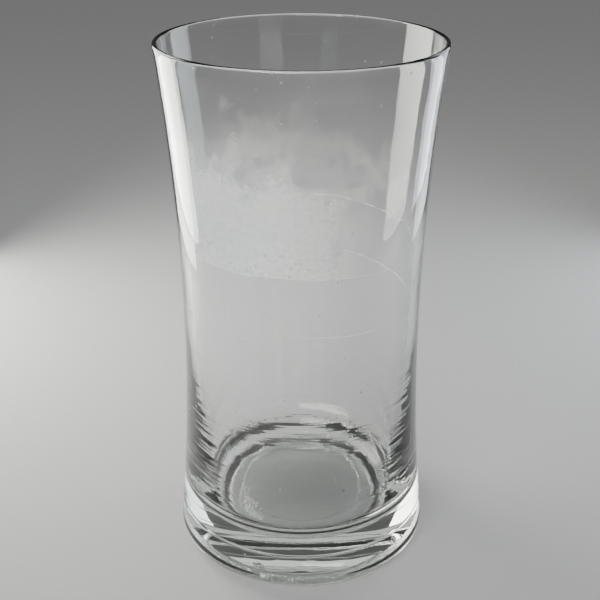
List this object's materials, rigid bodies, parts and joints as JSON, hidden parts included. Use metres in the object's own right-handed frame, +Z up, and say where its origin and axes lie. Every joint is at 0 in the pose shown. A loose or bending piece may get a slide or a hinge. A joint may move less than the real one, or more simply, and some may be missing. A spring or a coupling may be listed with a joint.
{
  "type": "glass flower vase",
  "caption": "Tall waisted cylinder vase of clear pressed glass, with a thick heavy foot and a rounded lip, for holding cut flowers in water.",
  "frame": {"origin": "middle of the foot, on the surface that the vase stands on", "axes": "+Z up along the vase's axis; +X and +Y level, and the vase is the same all round"},
  "size_m": [0.1288, 0.1288, 0.25],
  "materials": {
    "clear_glass": "clear, fire-polished, with a faint green cast in the thick foot and a thin film of limescale inside"
  },
  "bodies": {
    "root": {"vase_body": "clear_glass"}
  },
  "joints": []
}
